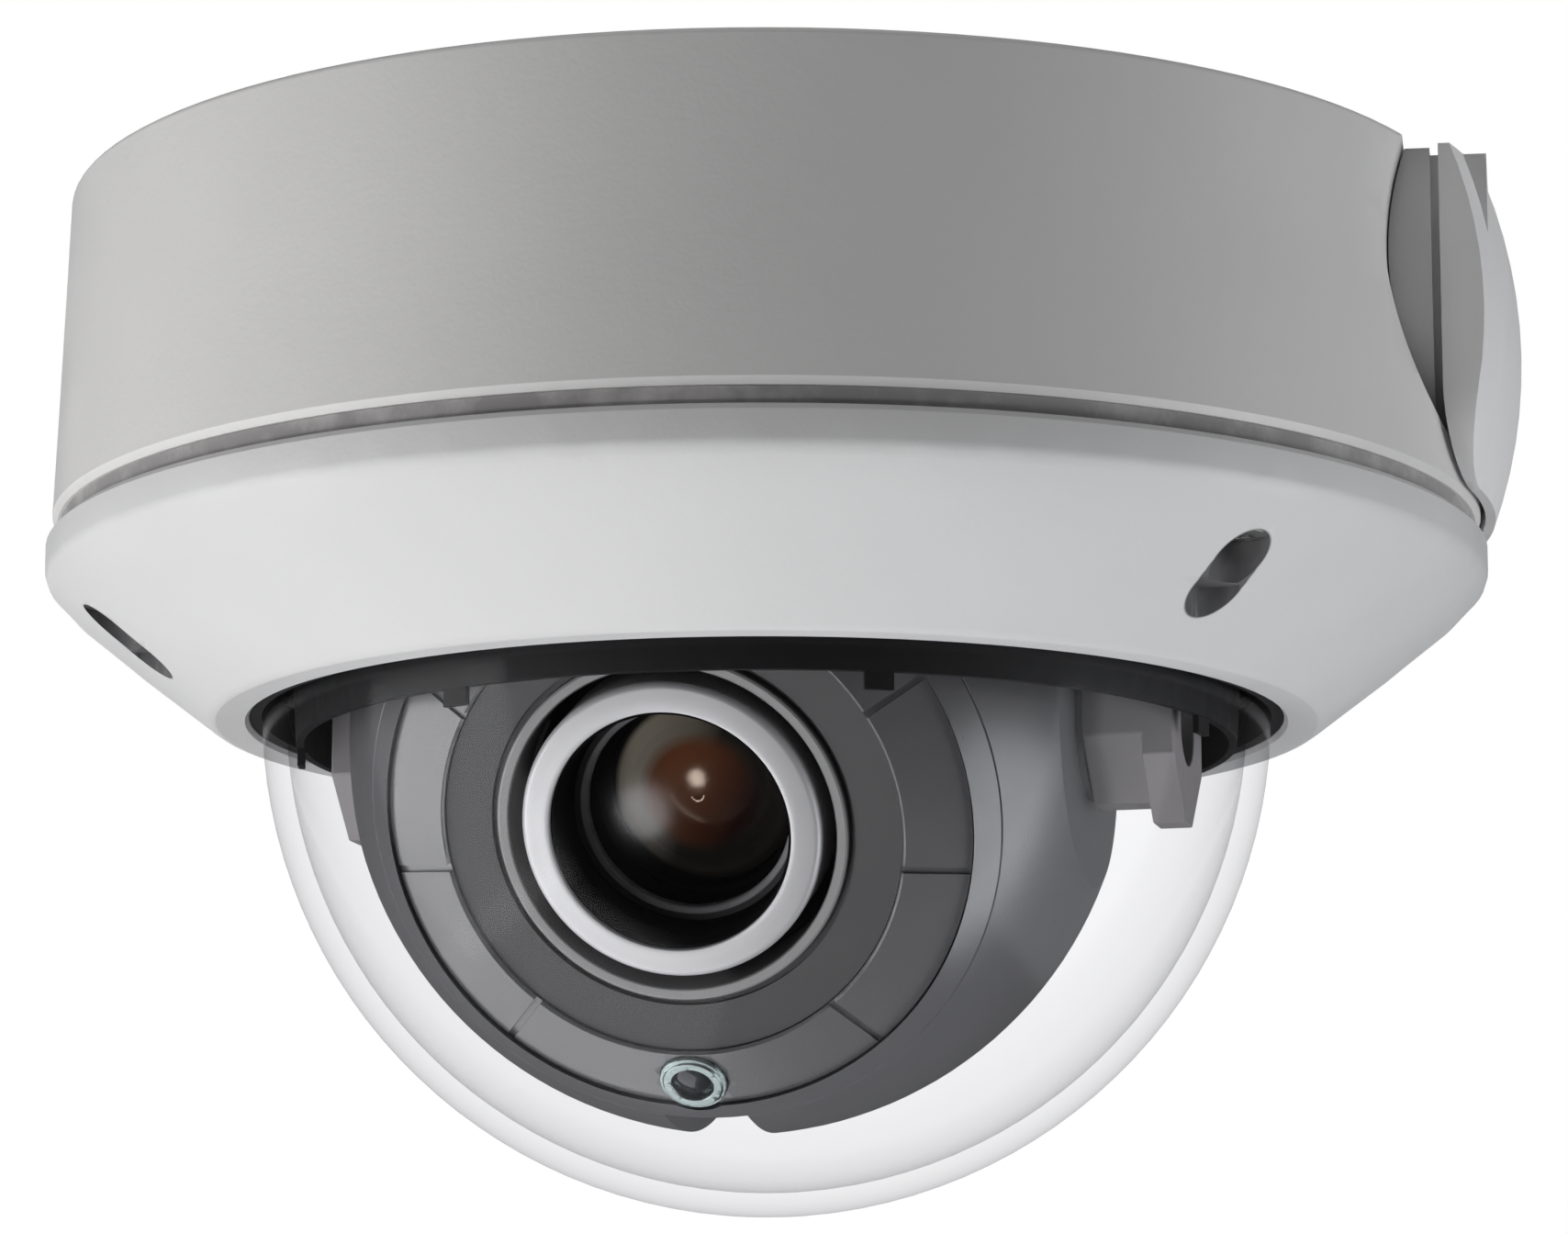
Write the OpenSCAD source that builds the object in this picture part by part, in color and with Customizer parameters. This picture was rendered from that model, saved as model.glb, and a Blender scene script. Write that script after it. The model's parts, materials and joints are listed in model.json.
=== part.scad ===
/* [Base] */
// Radius of the base at the ceiling
base_top_r = 70.3; // [66:0.1:74]
// Radius of the base at its open lower edge
base_low_r = 71.5; // [68:0.1:75]
// Height of the base wall below the ceiling
base_h = 33.1; // [31:0.1:36]
// Wall thickness of the die casting
base_wall = 2.5; // [2:0.1:3]
// Thickness of the plate that lies on the ceiling
plate_t = 3; // [2.5:0.1:3.5]
// Pitch circle radius of the ceiling screws
ceiling_pcr = 56; // [54:0.5:57]
// Radius of the ceiling screw holes
ceiling_hole_r = 2.3; // [2:0.1:2.6]
// Azimuth of the side cable outlet, from the front towards the right
outlet_az = 82; // [80:1:90]

/* [Cover] */
// Largest radius of the cover ring
cover_r = 72.1; // [72:0.1:76]
// Height at which the cover ring turns from wall to cone, below the ceiling
ring_z = -39.2; // [-41:0.1:-38]
// Height of the lower rim of the cover, below the ceiling
rim_z = -52.3; // [-53:0.1:-51]
// Radius of the dome opening in the cover
mouth_r = 51.7; // [51.2:0.1:52.4]
// Pitch circle radius of the captive cover screws
screw_pcr = 65.5; // [65.2:0.1:65.8]

/* [Dome] */
// Outside radius of the clear dome
dome_r = 50.4; // [49.8:0.1:50.8]
// Thickness of the clear dome
dome_t = 2.4; // [2:0.1:2.6]
// Height of the centre of the dome, below the ceiling
dome_z = -50.5; // [-51:0.1:-50]

/* [Eyeball] */
// Outside radius of the eyeball
eye_r = 38.85; // [37:0.05:39.5]
// Wall thickness of the eyeball
eye_wall = 1.8; // [1.5:0.1:2.2]
// Height of the centre of the eyeball, below the ceiling
eye_z = -54.1; // [-54.5:0.1:-53]
// Distance of the eyeball forward of the pan axis
eye_fwd = 2.9; // [2:0.1:3.5]
// Distance of the eyeball sideways from the pan axis
eye_side = 2.2; // [2:0.1:3]
// Pan angle at which the eyeball rests
pan_az = 14; // [0:0.5:60]
// Angle of the optical axis below the horizontal at rest
lens_dip = 25.6; // [15:0.1:60]

/* [Lens] */
// Outside radius of the silver front bezel
bezel_r = 14.66; // [14:0.02:15.2]
// Inside radius of the silver front bezel
bezel_in_r = 11.7; // [11:0.1:12.2]
// Height of the front bezel over the centre of the eyeball
bezel_h = 29.2; // [28.8:0.1:29.6]
// Radius of the lens tube that the zoom and focus rings turn on
tube_r = 13.2; // [13:0.1:13.3]

/* [Hidden] */

base_low = -base_h;
cover_gap = 1.8;
cover_top = base_low - cover_gap;
round_fn = 180;
small_fn = 48;
eps = 0.01;
fit = 0.05;

screw_azs = [41.5, 161.5, 281.5];
screw_bore_r = 1.65;
screw_shank_r = 1.6;
screw_boss_r = 3.6;
screw_head_r = 2.7;
screw_head_h = 2.2;
pocket_z = ring_z - 0.9;
pocket_w = 5.7;
pocket_run = 3;
slot_z = -46.2;

ceiling_azs = [-19, 101, 221];
grommet_az = 50;
grommet_pcr = 53;
grommet_hole_r = 7;
cable_bore_r = 3.5;

chassis_azs = [0, 120, 240];
chassis_pcr = 37;
chassis_top = -6;
chassis_t = 1.5;
chassis_r = 42;
hub_r = 8.92;
hub_bore_r = 9;
hub_in_r = 6.5;
stop_r = 30;
stop_w = 1.3;

board_azs = [125, 162, 199];
board_pcr = 54.5;
board_z = -12;
board_t = 1.6;
post_r = 3;

scoop_x = 63.3;
scoop_z = -10.5;
scoop_r = 31.5;
outlet_hw = 9.4;
outlet_zc = 10.6;
plug_r = 75.9;
plug_back_r = 72;
plug_low = -32.6;
plug_belly_r = 47;
plug_hw = 22.4;
rib_x = 67.6;

shelf_z = rim_z + 3.4;
flange_r = 55.2;
flange_t = 3;
flange_low = shelf_z + 1;
flange_top = flange_low + flange_t;
retainer_t = 1.8;
retainer_r = 60.6;
shield_r = 47.3;
shield_in_r = 46.2;
shield_low = -54.4;
shield_teeth = 7;
tooth_az0 = 12.8;

yoke_top = -9.8;
yoke_t = 2;
yoke_r = 41;
yoke_out = 43.2;
arm_hw = 8;
arm_knee = -42;
arm_tip = -63.9;
arm_inner_tip = -61.9;
left_tip = -62.8;
arm_plate_x = 40;
yoke_left = 42.2;
arm_clear_r = 44.4;
flat_t = 35.6;
hub_face = 36.2;
arm_face = 36.4;
pivot_r = 2;
pivot_head_r = 3.6;

seam_h = 23.4;
seam_gap = 0.2;
shell_back = -14;
notch_d = 3.1;
ring_in_r = 22.4;
ring_out_r = 28.6;
ring_in_h = 28.6;
ring_out_h = 25.6;
ring_ticks = 9;
eye_roll = -2.2;
sensor_r = 25.8;
bevel = atan2(ring_in_h - ring_out_h, ring_out_r - ring_in_r);

carrier_low = -8.5;
carrier_t = 3;
carrier_r = 35.4;
collar_r = 16;
boss_azs = [45, 135, 225, 315];
boss_pcr = 32;

board_half = 18.5;
chip_board_half = 16.5;
spacer_at = 13;
image_z = -20;
proc_z = -27;

// Points of an arc about (cx, cy), for profiles that are turned
function arc(cx, cy, r, a0, a1, n) =
    [for (i = [0 : n]) let (a = a0 + (a1 - a0) * i / n) [cx + r * cos(a), cy + r * sin(a)]];

// Places children at radius r and azimuth a, counted from the front towards the right
module at_az(r, a) {
    rotate([0, 0, a]) translate([0, -r, 0]) children();
}

// Upright rod from height z0 up to z1
module rod(r, z0, z1, fn = small_fn) {
    translate([0, 0, z0]) cylinder(r = r, h = z1 - z0, $fn = fn);
}

// Upright tube from height z0 up to z1
module tube(r, r_in, z0, z1, fn = round_fn) {
    difference() {
        rod(r, z0, z1, fn);
        rod(r_in, z0 - 1, z1 + 1, fn);
    }
}

// Frame of the parts that pan: the front is the way the lens looks
module pan_frame() {
    rotate([0, 0, -pan_az]) children();
}

// Frame of the eyeball: +Z is the optical axis, +Y is up, the origin is its centre
module eye_frame() {
    pan_frame() translate([-eye_side, -eye_fwd, eye_z]) rotate([90 + lens_dip, 0, 0]) children();
}

// Frame of the side outlet: +X points out of the wall
module outlet_frame() {
    rotate([0, 0, outlet_az - 90]) children();
}

// Round scoop cut into the wall at the side outlet, moved inwards by inset
module scoop(inset = 0) {
    outlet_frame() translate([scoop_x + scoop_r, 0, scoop_z]) rotate([90, 0, 0])
        cylinder(r = scoop_r + inset, h = 120, center = true, $fn = round_fn);
}

// U-shaped bar along X with its open end at the ceiling
module u_bar(hw, zc, x0, x1) {
    translate([x0, 0, 0]) rotate([90, 0, 90]) linear_extrude(x1 - x0) {
        translate([-hw, -zc]) square([2 * hw, zc - 0.2]);
        translate([0, -zc]) circle(r = hw, $fn = 96);
    }
}

// Bar along X with rounded lower corners and its flat end at the ceiling
module slab(hw, low, corner, x0, x1) {
    translate([x0, 0, 0]) rotate([90, 0, 90]) linear_extrude(x1 - x0) {
        translate([-hw, low + corner]) square([2 * hw, -low - corner - 0.2]);
        translate([corner - hw, low]) square([2 * (hw - corner), corner + 1]);
        for (s = [-1, 1]) translate([s * (hw - corner), low + corner]) circle(r = corner, $fn = 96);
    }
}

module base_housing() {
    inner_top_r = base_top_r - base_wall;
    inner_low_r = base_low_r - base_wall;
    color("silver") difference() {
        union() {
            difference() {
                rotate_extrude($fn = round_fn) polygon(concat(
                    [[0, 0]],
                    arc(base_top_r - 0.7, -0.7, 0.7, 90, 3, 4),
                    [[base_low_r, base_low + 0.7], [base_low_r - 0.5, base_low], [0, base_low]]));
                difference() {
                    translate([0, 0, base_low - 1])
                        cylinder(r1 = inner_low_r, r2 = inner_top_r, h = base_h + 1 - plate_t,
                            $fn = round_fn);
                    scoop(base_wall);
                }
            }
            for (a = screw_azs) at_az(screw_pcr, a) rod(screw_boss_r, base_low, -plate_t + eps);
            for (a = chassis_azs) at_az(chassis_pcr, a) rod(4.2, chassis_top, -plate_t + eps);
            for (a = board_azs) at_az(board_pcr, a) rod(post_r, board_z, -plate_t + eps);
            for (a = ceiling_azs) at_az(ceiling_pcr, a) rod(5, -plate_t - 1.2, -plate_t + eps);
        }
        scoop();
        for (a = screw_azs) at_az(screw_pcr, a) rod(screw_bore_r, base_low - 1, base_low + 16);
        for (a = chassis_azs) at_az(chassis_pcr, a) rod(1.3, chassis_top - 1, -2);
        for (a = board_azs) at_az(board_pcr, a) rod(1.1, board_z - 1, -5);
        for (a = ceiling_azs) at_az(ceiling_pcr, a) rod(ceiling_hole_r, -10, 1);
        at_az(grommet_pcr, grommet_az) rod(grommet_hole_r, -10, 1);
        outlet_frame() u_bar(outlet_hw + 0.1, outlet_zc, 57, 80);
        outlet_frame() translate([57, -outlet_hw - 0.1, -3]) cube([20, 2 * outlet_hw + 0.2, 4]);
    }
}

// Outer part of the plug: a bulging cap, a rib behind it and the groove between them
module plug_cap() {
    half = asin(-plug_low / 2 / plug_belly_r);
    intersection() {
        rotate_extrude($fn = round_fn) polygon(concat(
            [[plug_back_r, plug_low]],
            arc(plug_r - plug_belly_r, plug_low / 2, plug_belly_r, -half, half, 12),
            [[plug_back_r, 0]]));
        outlet_frame() difference() {
            slab(plug_hw, plug_low, 9, 60, 80);
            translate([72, -plug_hw - 1.4, -5.2]) cube([2.4, 2.8, 3.6]);
        }
    }
    outlet_frame() difference() {
        union() {
            slab(plug_hw - 1.6, -28, 12, 60, rib_x);
            slab(plug_hw - 4.4, -26, 11, rib_x - 1, plug_back_r + 1);
        }
        rotate([0, 0, 90 - outlet_az]) difference() {
            rod(100, -60, 20, 24);
            scoop(-0.15);
        }
    }
}

module side_outlet_plug() {
    color("gainsboro") {
        plug_cap();
        outlet_frame() {
            u_bar(outlet_hw, outlet_zc, 57.8, rib_x);
            intersection() {
                u_bar(outlet_hw + 2.6, outlet_zc, 57.8, 60.7);
                rod(100, -40, -4.4, 24);
            }
        }
    }
}

module cable_grommet() {
    color("dimgray") at_az(grommet_pcr, grommet_az) difference() {
        union() {
            rod(grommet_hole_r - fit, -plate_t, -0.1);
            rod(grommet_hole_r + 1.8, -plate_t - 1.6, -plate_t);
            rod(5, -plate_t - 5, -plate_t);
        }
        rod(cable_bore_r, -20, 1);
    }
}

module chassis_plate() {
    low = chassis_top - chassis_t;
    color("darkgray") difference() {
        union() {
            rod(chassis_r, low, chassis_top, round_fn);
            pan_frame() at_az(stop_r, 180) translate([-stop_w / 2, -2.5, low - 1.9])
                cube([stop_w, 5, 2]);
        }
        rod(hub_bore_r, -20, 0, round_fn);
        for (a = chassis_azs) at_az(chassis_pcr, a) rod(1.6, -20, 0);
        for (a = [60, 300]) at_az(24, a) rod(7, -20, 0);
    }
}

module chassis_screws() {
    low = chassis_top - chassis_t;
    color("lightgray") for (a = chassis_azs) at_az(chassis_pcr, a) difference() {
        union() {
            rod(2.6, low - 1.7, low);
            rod(1.25, low - 0.1, -2.4);
        }
        cross_slot(low - 1.7, 3.2);
    }
}

// Cross recess cut upwards into a screw head from height z
module cross_slot(z, w) {
    for (a = [0, 90]) rotate([0, 0, a]) translate([-w / 2, -0.35, z - 1]) cube([w, 0.7, 1.9]);
}

module power_board() {
    color("darkgreen") difference() {
        rotate([0, 0, 112 - 90]) rotate_extrude(angle = 100, $fn = round_fn)
            translate([47.5, board_z - board_t]) square([14, board_t]);
        for (a = board_azs) at_az(board_pcr, a) rod(1.5, -20, 0);
        for (a = screw_azs) at_az(screw_pcr, a) rod(screw_boss_r + 1.2, -20, 0);
    }
}

module power_board_screws() {
    low = board_z - board_t;
    color("lightgray") for (a = board_azs) at_az(board_pcr, a) difference() {
        union() {
            rod(2.3, low - 1.5, low);
            rod(1.05, low - 0.1, -7);
        }
        cross_slot(low - 1.5, 2.8);
    }
}

module power_capacitors() {
    low = board_z - board_t;
    color("midnightblue") for (a = [136, 146]) at_az(55, a) {
        rod(4, low - 10, low);
        rod(3.6, low - 10.4, low - 10 + eps);
    }
}

module power_connectors() {
    low = board_z - board_t;
    color("ivory") for (a = [174, 187]) at_az(52.5, a) translate([-4.5, -3, low - 6]) difference() {
        cube([9, 6, 6]);
        translate([1, 1, -1]) cube([7, 4, 5.5]);
    }
}

module power_coil() {
    low = board_z - board_t;
    color("dimgray") at_az(56, 116) translate([-3.5, -3.5, low - 4.5]) difference() {
        cube([7, 7, 4.5]);
        translate([3.5, 3.5, -1]) cylinder(r = 1.5, h = 2, $fn = small_fn);
    }
}

// Cone outline of the cover from its wall down to its lower rim
module cover_profile() {
    polygon(concat(
        [[69.1, cover_top], [cover_r - 0.6, cover_top]],
        [[cover_r, cover_top - 0.6], [cover_r, ring_z + 1.2]],
        [[cover_r - 0.3, ring_z + 0.3], [cover_r - 1, ring_z - 0.4], [69.4, ring_z - 2.2]],
        [[63.2, ring_z - 7.2], [56.1, rim_z + 0.5], [55.5, rim_z + 0.1], [55, rim_z]],
        [[mouth_r + 0.4, rim_z], [mouth_r, rim_z + 0.4], [mouth_r, shelf_z]],
        [[flange_r + 0.2, shelf_z], [flange_r + 0.2, flange_top], [retainer_r + 0.6, flange_top]],
        [[69.1, ring_z - 0.2]]));
}

// Pocket over each cover screw, up to the seat of its head, with a shallow slot towards the dome
module screw_pocket() {
    rod(pocket_w / 2, -60, pocket_z);
    translate([0, pocket_run, 0]) rod(pocket_w / 2, -60, slot_z);
    translate([-pocket_w / 2, 0, -60]) cube([pocket_w, pocket_run, 60 + slot_z]);
}

module cover_ring() {
    color("whitesmoke") difference() {
        union() {
            rotate_extrude($fn = round_fn) cover_profile();
            for (a = screw_azs) at_az(screw_pcr, a) intersection() {
                rod(pocket_w / 2 + 1.6, -48, cover_top - 0.7);
                translate([0, screw_pcr, 0]) rotate_extrude($fn = round_fn)
                    polygon([[50, cover_top], [69.2, cover_top], [69.2, ring_z - 1.6], [62.8, ring_z - 6.9],
                        [55.6, ring_z - 12.4], [50, ring_z - 12.4]]);
            }
        }
        for (a = screw_azs) at_az(screw_pcr, a) {
            screw_pocket();
            rod(2.1, -60, 0);
        }
        for (i = [0 : 5]) at_az(58.6, 20 + 60 * i) rod(0.95, flange_top - 3.4, 0);
    }
}

module cover_gasket() {
    color("black") tube(70.7, 69.5, cover_top, base_low - fit);
}

module dome_bubble() {
    color("lightblue", 0.4) difference() {
        union() {
            translate([0, 0, dome_z]) intersection() {
                sphere(r = dome_r, $fn = round_fn);
                rod(80, -80, 0);
            }
            rod(dome_r, dome_z, flange_top, round_fn);
            rod(flange_r, flange_low, flange_top, round_fn);
        }
        translate([0, 0, dome_z]) sphere(r = dome_r - dome_t, $fn = round_fn);
        rod(dome_r - dome_t, dome_z, flange_top + 1, round_fn);
    }
}

module dome_seal() {
    color("black") rotate_extrude($fn = round_fn) polygon([
        [dome_r + 0.03, rim_z + 0.5], [mouth_r - 0.03, rim_z + 0.5], [mouth_r - 0.03, shelf_z + 0.02],
        [flange_r, shelf_z + 0.02], [flange_r, flange_low - 0.02], [dome_r + 0.03, flange_low - 0.02]]);
}

module dome_retainer() {
    color("black") difference() {
        tube(retainer_r, dome_r - dome_t + 0.3, flange_top + 0.02, flange_top + retainer_t);
        for (i = [0 : 5]) at_az(58.6, 20 + 60 * i) rod(1.2, -60, 0);
    }
}

module retainer_screws() {
    top = flange_top + retainer_t;
    color("lightgray") for (i = [0 : 5]) at_az(58.6, 20 + 60 * i) difference() {
        union() {
            rod(2, top, top + 1.4);
            rod(0.93, top - 4.6, top + 0.1);
        }
        mirror([0, 0, 1]) cross_slot(-top - 1.4, 2.4);
    }
}

module light_shield() {
    top = flange_top + retainer_t;
    color("black") {
        rotate_extrude($fn = round_fn) polygon([
            [shield_in_r, shield_low], [shield_r - 0.3, shield_low], [shield_r, shield_low + 5],
            [shield_r, top], [52, top], [52, top + 1], [shield_in_r, top + 1]]);
        for (i = [0 : shield_teeth - 1]) rotate([0, 0, tooth_az0 + i * 360 / shield_teeth - 90])
            rotate_extrude(angle = 3.4, start = -1.7, $fn = round_fn)
                translate([shield_in_r + 0.1, shield_low - 1.7]) square([0.6, 2.3]);
    }
}

module cover_screws() {
    color("silver") for (a = screw_azs) at_az(screw_pcr, a) difference() {
        union() {
            rod(screw_head_r, pocket_z - screw_head_h, pocket_z);
            rod(screw_shank_r, pocket_z - 0.1, base_low + 11);
        }
        translate([0, 0, pocket_z - screw_head_h - 1]) cylinder(r = 1.45, h = 2.4, $fn = 6);
    }
}

module screw_clips() {
    color("dimgray") for (a = screw_azs) at_az(screw_pcr, a)
        tube(2.6, screw_shank_r + 0.02, cover_top - 0.65, cover_top + 0.2, small_fn);
}

// Lower end of a yoke arm, from x0 to x1, pointed at the height tip
module arm_end(x0, x1, tip) {
    intersection() {
        translate([x0, -eye_fwd, 0]) rotate([90, 0, 90]) linear_extrude(x1 - x0) polygon([
            [-arm_hw, arm_knee], [arm_hw, arm_knee], [arm_hw, tip + 5.9],
            [2, tip], [-2, tip], [-arm_hw, tip + 5.9]]);
        rod(arm_clear_r, -80, 0, round_fn);
    }
}

// Upper part of a yoke arm, from x0 to x1
module arm_top(x0, x1) {
    intersection() {
        translate([x0, -arm_hw - eye_fwd, arm_knee - eps]) cube([x1 - x0, 2 * arm_hw, yoke_top - arm_knee]);
        rod(arm_clear_r, -80, 0, round_fn);
    }
}

module pan_yoke() {
    low = yoke_top - yoke_t;
    right_in = arm_face - eye_side;
    left_in = -arm_face - eye_side;
    color("gray") pan_frame() difference() {
        union() {
            rod(yoke_r, low, yoke_top, round_fn);
            intersection() {
                translate([-yoke_left, -arm_hw - eye_fwd, low])
                    cube([yoke_left + yoke_out, 2 * arm_hw, yoke_t]);
                rod(arm_clear_r, -20, 0, round_fn);
            }
            rod(14, yoke_top - eps, yoke_top + 1.65, round_fn);
            rod(hub_r, yoke_top, chassis_top + 1.8, round_fn);
            at_az(stop_r, 0) translate([-stop_w / 2, -2, yoke_top - eps]) cube([stop_w, 4, 1.9]);
            arm_end(right_in, arm_plate_x + eps, arm_inner_tip);
            arm_end(arm_plate_x, yoke_out, arm_tip);
            arm_top(arm_plate_x, yoke_out);
            arm_end(-yoke_left, left_in, left_tip);
            arm_top(-yoke_left, left_in);
        }
        rod(hub_in_r, -20, 0, round_fn);
        for (a = [90, 180, 270]) at_az(24, a) rod(7, -20, -8);
        translate([-eye_side, -eye_fwd, eye_z]) rotate([0, 90, 0]) {
            rod(pivot_r + 0.05, -60, 60);
            rod(pivot_head_r + 0.3, 39, 60);
            rod(pivot_head_r + 0.3, -60, -38.7);
        }
    }
}

module pan_washer() {
    color("lightgray") tube(13.8, hub_r + 0.15, yoke_top + 1.7, chassis_top - chassis_t - fit);
}

module pan_lock_ring() {
    color("dimgray") tube(12, hub_r + 0.01, chassis_top + 0.1, chassis_top + 1.6);
}

module tilt_pivot_screws() {
    color("lightgray") pan_frame() translate([-eye_side, -eye_fwd, eye_z]) rotate([0, 90, 0]) {
        difference() {
            union() {
                rod(pivot_r, 31.6, 39.1);
                rod(pivot_head_r, 39, 41);
            }
            translate([0, 0, 82]) mirror([0, 0, 1]) cross_slot(41, 4);
        }
        difference() {
            union() {
                rod(pivot_r, -38.8, -31.6);
                rod(pivot_head_r, -40.4, -38.7);
            }
            cross_slot(-40.4, 4);
        }
    }
}

// Turns an outline about the tilt axis along the belly, from angle a0 to a1 off the optical axis
module belly_bar(a0, a1) {
    rotate([0, 0, eye_roll]) rotate([0, 90, 0]) rotate([0, 0, 180 + a0])
        rotate_extrude(angle = a1 - a0, $fn = round_fn) children();
}

module eye_rear_shell() {
    color("dimgray") eye_frame() difference() {
        union() {
            difference() {
                intersection() {
                    sphere(r = eye_r, $fn = round_fn);
                    translate([-flat_t, -50, shell_back])
                        cube([2 * flat_t, 100, seam_h - seam_gap / 2 - shell_back]);
                }
                intersection() {
                    sphere(r = eye_r - eye_wall, $fn = round_fn);
                    translate([-flat_t + eye_wall, -50, -50]) cube([2 * (flat_t - eye_wall), 100, 100]);
                }
            }
            for (s = [-1, 1]) rotate([0, 90 * s, 0]) {
                rod(7, flat_t - eps, hub_face);
                rod(5.2, 31, flat_t - 1);
            }
            intersection() {
                sphere(r = eye_r - eye_wall + 0.6, $fn = round_fn);
                for (a = boss_azs) rotate([0, 0, a]) translate([29.4, -2.8, carrier_low + carrier_t + fit])
                    cube([9, 5.6, 9]);
            }
            intersection() {
                sphere(r = eye_r - eye_wall + 0.6, $fn = round_fn);
                belly_bar(56, 111) translate([eye_r - 4, -7]) square([4, 14]);
            }
        }
        for (s = [-1, 1]) rotate([0, 90 * s, 0]) rod(pivot_r + 0.06, 25, 45);
        for (a = boss_azs) rotate([0, 0, a]) translate([boss_pcr, 0, 0]) rod(1.2, -20, 2);
        belly_bar(50, 115) polygon([
            [eye_r - notch_d, -1.4], [eye_r - notch_d, 1.4], [eye_r + 1, 5.4], [eye_r + 1, -5.4]]);
    }
}

module eye_front_shell() {
    back = seam_h + seam_gap / 2;
    color("dimgray") eye_frame() difference() {
        intersection() {
            sphere(r = eye_r, $fn = round_fn);
            rotate_extrude($fn = round_fn) polygon([
                [ring_out_r + 0.2, 30], [40, 30], [40, back], [28.6, back], [28.3, back - 2],
                [26.9, back - 2], [26.9, back - 0.4], [21.6, 25.9], [21.6, 27.2],
                [ring_out_r + 0.2, 24.3]]);
        }
        rotate([0, 0, 180 + eye_roll]) translate([0, sensor_r, 0]) rod(3.7, 0, 40);
    }
}

module eye_front_ring() {
    color("gray") eye_frame() difference() {
        rotate_extrude($fn = round_fn) polygon([
            [ring_in_r, ring_in_h - 0.3], [ring_in_r + 0.3, ring_in_h], [ring_out_r, ring_out_h],
            [ring_out_r, 24.5], [ring_in_r, 27.5]]);
        for (i = [1 : ring_ticks - 1]) rotate([0, 0, eye_roll + i * 360 / ring_ticks])
            translate([0, -sensor_r, (ring_in_h + ring_out_h) / 2]) rotate([bevel, 0, 0])
                translate([-0.35, -4, -0.45]) cube([0.7, 8, 2]);
        sensor_frame() rod(3.35, -4, 4);
    }
}

// Frame of the light sensor: +Z stands out of the sloping front ring
module sensor_frame() {
    rotate([0, 0, eye_roll]) translate([0, -sensor_r, (ring_in_h + ring_out_h) / 2])
        rotate([bevel, 0, 0]) children();
}

module light_sensor_bezel() {
    color("silver") eye_frame() sensor_frame() {
        tube(3.3, 2.05, -0.9, 0.45, small_fn);
        tube(2.9, 2.05, 0.44, 0.7, small_fn);
    }
}

module light_sensor_window() {
    color("black") eye_frame() sensor_frame() intersection() {
        rod(2, -0.9, 1);
        translate([0, 0, -3.2]) sphere(r = 3.8, $fn = small_fn);
    }
}

module lens_shroud() {
    color("dimgray") eye_frame() rotate_extrude($fn = round_fn) polygon([
        [ring_in_r - 0.1, 28], [17.8, 28], [17.8, 27.3], [17.2, 27.3], [17.2, 28.3], [16.9, 28.5],
        [16.2, 28.5], [16, 28.3], [16, 20.8], [17.2, 20.8], [17.2, 26.3], [21.5, 26.3], [21.5, 27.3],
        [ring_in_r - 0.1, 27.3]]);
}

module lens_carrier() {
    top = carrier_low + carrier_t;
    color("dimgray") eye_frame() difference() {
        union() {
            intersection() {
                rod(carrier_r, carrier_low, top, round_fn);
                translate([-33.5, -50, -20]) cube([67, 100, 40]);
            }
            at_az(22, 180) translate([-0.475, -1.5, carrier_low - 1.9]) cube([0.95, 3, 2]);
        }
        rod(collar_r + 0.06, -20, 0, round_fn);
        for (a = boss_azs) rotate([0, 0, a]) translate([boss_pcr, 0, 0]) rod(1.3, -20, 0);
        for (a = [0, 90, 180]) rotate([0, 0, a]) translate([25.5, 0, 0]) rod(5, -20, 0);
        translate([-9.5, -50, -20]) cube([18, 17.4, 40]);
    }
}

module carrier_screws() {
    color("lightgray") eye_frame() for (a = boss_azs) rotate([0, 0, a]) translate([boss_pcr, 0, 0])
        difference() {
            union() {
                rod(2.1, carrier_low - 1.5, carrier_low);
                rod(1.15, carrier_low - 0.1, 1);
            }
            cross_slot(carrier_low - 1.5, 2.6);
        }
}

module lens_holder() {
    flange_h = carrier_low - 0.25;
    color("black") eye_frame() difference() {
        union() {
            rod(collar_r, flange_h - 0.5, carrier_low + carrier_t + 0.2, round_fn);
            rod(19, flange_h - 2, flange_h, round_fn);
            at_az(20, 0) translate([-0.475, -3, flange_h - 2]) cube([0.95, 5, 1.9]);
            translate([-13, -13, image_z + 0.1]) cube([26, 26, -image_z + flange_h - 1]);
            for (x = [-1, 1], y = [-1, 1]) translate([spacer_at * x, spacer_at * y, 0])
                rod(3, image_z + 0.1, flange_h - 1);
        }
        rod(10.06, -16, 0, round_fn);
        translate([-8.5, -8.5, image_z - 1]) cube([17, 17, 8]);
        for (x = [-1, 1], y = [-1, 1]) translate([spacer_at * x, spacer_at * y, 0]) rod(1.1, -30, -14);
    }
}

module lens_clamp_ring() {
    low = carrier_low + carrier_t + 0.22;
    color("silver") eye_frame() tube(18.6, 10.06, low, low + 1.38);
}

module lens_tube() {
    color("black") eye_frame() difference() {
        union() {
            rod(10, -12.9, -1.8, round_fn);
            rod(15.2, -3.8, -1.8, round_fn);
            rod(tube_r, -1.9, 24.6, round_fn);
        }
        rod(7.1, -20, 30, round_fn);
        rod(9.4, 12.4, 30, round_fn);
        rod(10, 17.5, 30, round_fn);
        rod(11.5, 20.5, 30, round_fn);
    }
}

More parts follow.
